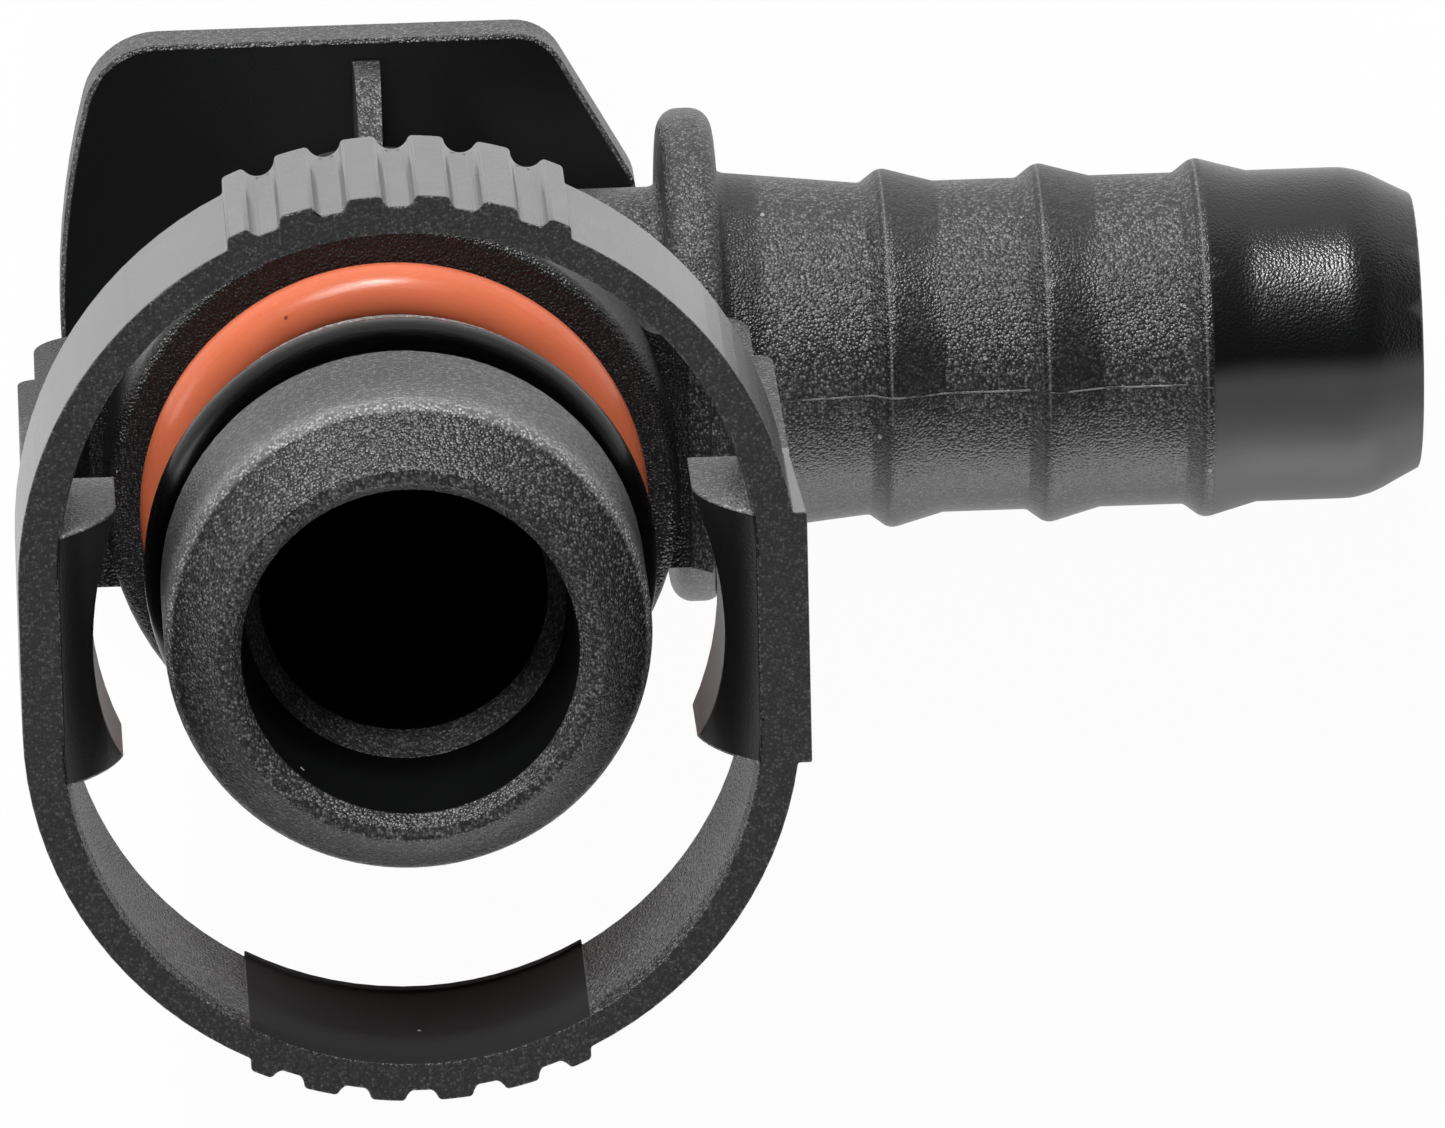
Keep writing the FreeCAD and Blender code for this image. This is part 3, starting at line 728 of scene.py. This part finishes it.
class CONNECTOR_OT_seals(bpy.types.Operator):
    """Dress the two seals in oiled rubber"""
    bl_idname = "connector.seals"
    bl_label = "Rubber Seals"

    def execute(self, context):
        finish = context.scene.connector_finish
        looks = (("front_o_ring", "black_rubber", finish.black),
                 ("rear_o_ring", "orange_rubber", finish.orange))
        for node, slot, tint in looks:
            piece = merged_copy(node, node + "_rubber")
            rubber = rubber_material(slot.replace("_", " "), tuple(tint), finish)
            piece.data.materials.append(rubber)
            seat(piece, slot, node)
        return {"FINISHED"}


def cut_away(point, direction):
    """In edit mode, removes what lies past a plane from all that is selected."""
    bpy.ops.mesh.select_all(action="SELECT")
    bpy.ops.mesh.bisect(plane_co=point, plane_no=direction, clear_outer=True,
                        threshold=CUT_WITHIN)


def seam_along(name, cuts, seams):
    """A seam: a narrow strip of the moulding's own surface, between cuts, raised a little."""
    strip = merged_copy("connector_body", name)
    bpy.ops.object.mode_set(mode="EDIT")
    for point, direction in cuts:
        cut_away(point, direction)
    bpy.ops.object.mode_set(mode="OBJECT")
    wall = strip.modifiers.new("Solidify", "SOLIDIFY")
    wall.thickness = 2 * seams.height
    wall.offset = 0.0
    bpy.ops.object.modifier_apply(modifier=wall.name)
    return strip


class CONNECTOR_OT_seams(bpy.types.Operator):
    """Raise the fine seams that the halves of the mould left"""
    bl_idname = "connector.seams"
    bl_label = "Mould Seams"

    def execute(self, context):
        scene = context.scene
        seams = scene.connector_seams
        half = seams.width / 2
        start = (seams.stem_start, 0.0, 0.0)
        end = (scene.connector_zones.tip_start, 0.0, 0.0)
        reach = scene.connector_zones.stem_reach
        material = seam_material(scene.connector_finish)
        for name, side in (("stem_seam_front", 1.0), ("stem_seam_rear", -1.0)):
            bore = MOUNTS["hose_bore"]["dims"]["r_mm"] * BORE_WALL_SHARE * MM
            wall_z = STEM_AXIS_Z + side * bore
            strip = seam_along(name, [
                ((0.0, half, 0.0), (0.0, 1.0, 0.0)),
                ((0.0, -half, 0.0), (0.0, -1.0, 0.0)),
                (start, (-1.0, 0.0, 0.0)),
                (end, (1.0, 0.0, 0.0)),
                ((0.0, 0.0, wall_z), (0.0, 0.0, -side)),
                ((0.0, 0.0, STEM_AXIS_Z + side * reach), (0.0, 0.0, side)),
            ], seams)
            strip.data.materials.append(material)
            seat(strip, "black_nylon")
        return {"FINISHED"}


def white_to_the_eye(tree):
    """1 for what is seen directly, in a mirror or through glass, and 0 for light that falls."""
    path = tree.nodes.new("ShaderNodeLightPath").outputs
    return either(tree, path["Is Camera Ray"], path["Is Glossy Ray"], path["Is Transmission Ray"])


def make_floor(studio):
    """A pale floor under the thumb pad, plain white to the eye but for the soft shadow."""
    bpy.ops.mesh.primitive_plane_add(size=studio.floor_size, location=(0.0, 0.0, LOW.z - FLOOR_GAP))
    bpy.ops.object.transform_apply()
    floor = bpy.context.active_object
    floor.name = "studio_floor"
    material, tree, _, shader = new_material("pale floor")
    shader.inputs["Base Color"].default_value = (*studio.floor_colour, 1.0)
    shader.inputs["Roughness"].default_value = FLOOR_ROUGHNESS
    glow = add_node(tree, "ShaderNodeEmission", {"Color": WHITE, "Strength": 1.0})
    seen = product(tree, white_to_the_eye(tree), studio.floor_glow)
    mix = add_node(tree, "ShaderNodeMixShader",
                   {0: seen, 1: shader.outputs[0], 2: glow.outputs[0]})
    output = next(n for n in tree.nodes if n.type == "OUTPUT_MATERIAL")
    tree.links.new(mix.outputs[0], output.inputs["Surface"])
    floor.data.materials.append(material)


def make_world(studio):
    """Even light from all round: white to the eye, and dark overhead and behind in mirrors."""
    world = bpy.data.worlds.new("studio surround")
    bpy.context.scene.world = world
    world.use_nodes = True
    tree = world.node_tree
    tree.nodes.clear()
    path = tree.nodes.new("ShaderNodeLightPath").outputs
    direction = tree.nodes.new("ShaderNodeTexCoord").outputs["Generated"]
    _, towards_grips, height = add_node(tree, "ShaderNodeSeparateXYZ", {0: direction}).outputs
    from_behind = step_up(tree, towards_grips, BEHIND_EDGE, BEHIND_SOFT)
    from_above = step_up(tree, height, OVERHEAD_EDGE, OVERHEAD_SOFT)
    mirrored = blend_numbers(tree, from_behind, 1.0, studio.behind)
    mirrored = blend_numbers(tree, from_above, mirrored, studio.overhead)
    strength = blend_numbers(tree, path["Is Glossy Ray"], studio.fill, mirrored)
    seen = either(tree, path["Is Camera Ray"], path["Is Transmission Ray"])
    strength = blend_numbers(tree, seen, strength, 1.0)
    background = add_node(tree, "ShaderNodeBackground", {"Color": WHITE, "Strength": strength})
    output = tree.nodes.new("ShaderNodeOutputWorld")
    tree.links.new(background.outputs[0], output.inputs["Surface"])


def make_lamp(name, place, width, height, power):
    """A soft oval lamp aimed at the connector's middle."""
    bpy.ops.object.light_add(type="AREA", location=place)
    lamp = bpy.context.active_object
    lamp.name = name
    lamp.data.shape = "ELLIPSE"
    lamp.data.size = width
    lamp.data.size_y = height
    lamp.data.energy = power
    aim = (LOW + HIGH) / 2 - Vector(place)
    lamp.rotation_euler = aim.to_track_quat("-Z", "Y").to_euler()


def make_camera(studio):
    """The camera, where the spigot's mouth falls on its own place in the picture."""
    tilt, yaw, roll = studio.tilt, studio.yaw, studio.roll
    back = Vector((-math.sin(yaw) * math.cos(tilt), math.sin(tilt),
                   math.cos(tilt) * math.cos(yaw))).normalized()
    level = Vector((0.0, 1.0, 0.0)).cross(back).normalized()
    upright = back.cross(level)
    right = math.cos(roll) * level - math.sin(roll) * upright
    up = math.sin(roll) * level + math.cos(roll) * upright
    focal = studio.pixels_per_metre * studio.distance
    across = (studio.mouth_x - PICTURE_WIDTH / 2) / focal * studio.distance
    down = (studio.mouth_y - PICTURE_HEIGHT / 2) / focal * studio.distance
    place = MOUTH + back * studio.distance - right * across + up * down
    bpy.ops.object.camera_add()
    camera = bpy.context.active_object
    camera.name = "studio_camera"
    turn = Matrix((right, up, back)).transposed()
    camera.matrix_world = Matrix.Translation(place) @ turn.to_4x4()
    camera.data.sensor_width = SENSOR_WIDTH
    camera.data.lens = focal / PICTURE_WIDTH * camera.data.sensor_width
    camera.data.clip_start = NEAREST
    camera.data.clip_end = FARTHEST
    bpy.context.scene.camera = camera


class CONNECTOR_OT_studio(bpy.types.Operator):
    """Set up the pale floor, the soft light and the camera"""
    bl_idname = "connector.studio"
    bl_label = "Studio"

    def execute(self, context):
        studio = context.scene.connector_studio
        make_floor(studio)
        make_world(studio)
        for name, place, width, height, power in LAMPS:
            make_lamp(name, place, width, height, getattr(studio, power))
        make_camera(studio)
        context.scene.view_settings.view_transform = "Standard"
        return {"FINISHED"}


class CONNECTOR_PT_panel(bpy.types.Panel):
    """Lists the connector's pieces and its studio"""
    bl_idname = "CONNECTOR_PT_panel"
    bl_label = "Hose Connector"
    bl_space_type = "VIEW_3D"
    bl_region_type = "UI"
    bl_category = "Hose Connector"

    def draw(self, context):
        for operator in OPERATORS:
            self.layout.operator(operator.bl_idname)


OPERATORS = (CONNECTOR_OT_moulding, CONNECTOR_OT_seals, CONNECTOR_OT_seams, CONNECTOR_OT_studio)
GROUPS = {
    "connector_zones": ConnectorZones,
    "connector_finish": ConnectorFinish,
    "connector_seams": ConnectorSeams,
    "connector_studio": ConnectorStudio,
}


def register():
    """Makes the groups, operators and panel known, and gives the scene its settings."""
    for group in GROUPS.values():
        bpy.utils.register_class(group)
    for name, group in GROUPS.items():
        setattr(bpy.types.Scene, name, PointerProperty(type=group))
    for operator in OPERATORS:
        bpy.utils.register_class(operator)
    bpy.utils.register_class(CONNECTOR_PT_panel)


def unregister():
    """Undoes register, last first."""
    bpy.utils.unregister_class(CONNECTOR_PT_panel)
    for operator in reversed(OPERATORS):
        bpy.utils.unregister_class(operator)
    for name in reversed(GROUPS):
        delattr(bpy.types.Scene, name)
    for group in reversed(GROUPS.values()):
        bpy.utils.unregister_class(group)


def main():
    """Builds every piece and the studio."""
    register()
    bpy.ops.connector.moulding()
    bpy.ops.connector.seals()
    bpy.ops.connector.seams()
    bpy.ops.connector.studio()


if __name__ == "__main__":
    main()
